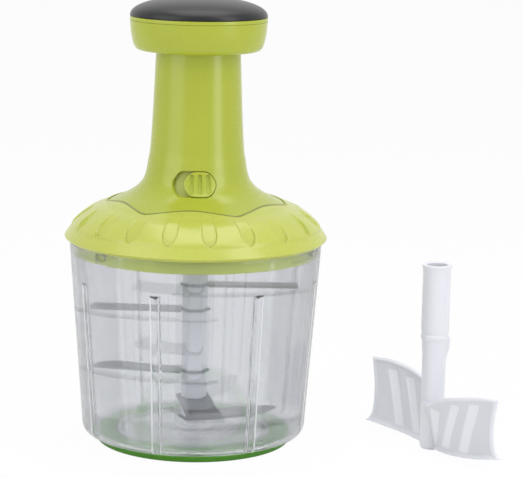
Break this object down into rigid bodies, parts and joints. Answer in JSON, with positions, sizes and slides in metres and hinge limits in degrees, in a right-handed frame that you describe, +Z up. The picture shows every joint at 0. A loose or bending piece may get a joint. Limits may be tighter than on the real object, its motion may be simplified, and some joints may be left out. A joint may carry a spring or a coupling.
{
  "type": "plunger food chopper",
  "caption": "Hand food chopper: clear bowl, lime geared lid, press cap on a waisted neck, blade tower and a separate stirring paddle.",
  "frame": {"origin": "middle of the whole set's footprint, on the table; the chopper's axis is 43.2 mm to the left of it", "axes": "+Z up along the chopper's axis, +X to the right as in the picture, +Y away from the viewer"},
  "size_m": [0.217, 0.1306, 0.2219],
  "materials": {
    "clear_plastic": "clear moulded plastic, polished, 2.2 mm wall",
    "lime_plastic": "lime moulded plastic, semi-gloss",
    "light_lime_plastic": "lighter lime moulded plastic, semi-gloss",
    "inner_lime_plastic": "lime moulded plastic, satin",
    "soft_pad": "charcoal soft-touch skin, satin",
    "green_rubber": "green soft rubber, satin",
    "clear_seal": "translucent silicone, satin",
    "white_plastic": "white moulded plastic, satin",
    "acetal": "natural acetal, satin",
    "blade_steel": "stamped stainless sheet, fine brushed",
    "steel": "turned steel, plain"
  },
  "bodies": {
    "bowl": {"bowl": "clear_plastic", "pivot_pin": "steel", "non_slip_ring": "green_rubber"},
    "seal": {"lid_seal": "clear_seal"},
    "lid": {"lid_base": "inner_lime_plastic", "dome_cover": "light_lime_plastic", "neck_cover": "lime_plastic", "ring_gear": "acetal", "gear_cover": "acetal", "spindle_bush": "acetal", "case_screw_1": "steel", "case_screw_2": "steel", "case_screw_3": "steel", "return_spring": "steel"},
    "lock": {"lock_button": "lime_plastic", "lock_slide": "inner_lime_plastic"},
    "plunger": {"press_cap": "lime_plastic", "cap_screw": "steel", "bezel_ring": "lime_plastic", "pad_core": "acetal", "grip_pad": "soft_pad", "press_stem": "lime_plastic", "drive_nut": "acetal"},
    "drive": {"planet_carrier": "acetal", "helical_rod": "steel", "planet_pin_1": "steel", "planet_pin_2": "steel", "planet_pin_3": "steel"},
    "planet_1": {"planet_gear_1": "acetal"},
    "planet_2": {"planet_gear_2": "acetal"},
    "planet_3": {"planet_gear_3": "acetal"},
    "spindle": {"sun_spindle": "steel", "drive_dog": "acetal"},
    "blade": {"blade_shaft": "white_plastic", "blade_top": "blade_steel", "blade_upper": "blade_steel", "blade_middle": "blade_steel", "blade_front": "blade_steel", "blade_bottom": "blade_steel", "foot_bush": "acetal"},
    "paddle": {"paddle": "white_plastic"}
  },
  "joints": [
    {"name": "lid_lift", "type": "slide", "parent": "bowl", "child": "seal", "axis": [0, 0, 1], "range_m": [0, 0.12]},
    {"name": "lid_turn", "type": "hinge", "parent": "seal", "child": "lid", "pos_m": [-0.04322, 0, 0], "axis": [0, 0, 1], "range_deg": [0, 18]},
    {"name": "plunger_rise", "type": "slide", "parent": "lid", "child": "plunger", "axis": [0, 0, 1], "range_m": [0, 0.045], "deforming": ["return_spring"]},
    {"name": "lock_turn", "type": "hinge", "parent": "lid", "child": "lock", "pos_m": [-0.04322, 0, 0], "axis": [0, 0, 1], "range_deg": [-12.8, 0]},
    {"name": "drive_spin", "type": "hinge", "parent": "lid", "child": "drive", "pos_m": [-0.04322, 0, 0], "axis": [0, 0, 1], "range_deg": [-0.1, 180.1]},
    {"name": "planet_1_spin", "type": "hinge", "parent": "drive", "child": "planet_1", "pos_m": [-0.01922, 0, 0], "axis": [0, 0, 1], "range_deg": [-540.3, 0.3]},
    {"name": "planet_2_spin", "type": "hinge", "parent": "drive", "child": "planet_2", "pos_m": [-0.05522, 0.02078, 0], "axis": [0, 0, 1], "range_deg": [-540.3, 0.3]},
    {"name": "planet_3_spin", "type": "hinge", "parent": "drive", "child": "planet_3", "pos_m": [-0.05522, -0.02078, 0], "axis": [0, 0, 1], "range_deg": [-540.3, 0.3]},
    {"name": "spindle_spin", "type": "hinge", "parent": "lid", "child": "spindle", "pos_m": [-0.04322, 0, 0], "axis": [0, 0, 1], "range_deg": [-0.4, 720.4]},
    {"name": "blade_spin", "type": "hinge", "parent": "bowl", "child": "blade", "pos_m": [-0.04322, 0, 0], "axis": [0, 0, 1], "range_deg": [-0.4, 720.4]},
    {"name": "paddle_lift", "type": "slide", "parent": "bowl", "child": "paddle", "axis": [0, 0, 1], "range_m": [0, 0.12]}
  ],
  "couplings": [
    {"joint": "drive_spin", "follows": "plunger_rise", "rad_per_m": 69.813},
    {"joint": "planet_1_spin", "follows": "plunger_rise", "rad_per_m": -209.44},
    {"joint": "planet_2_spin", "follows": "plunger_rise", "rad_per_m": -209.44},
    {"joint": "planet_3_spin", "follows": "plunger_rise", "rad_per_m": -209.44},
    {"joint": "spindle_spin", "follows": "plunger_rise", "rad_per_m": 279.25},
    {"joint": "blade_spin", "follows": "plunger_rise", "rad_per_m": 279.25}
  ]
}
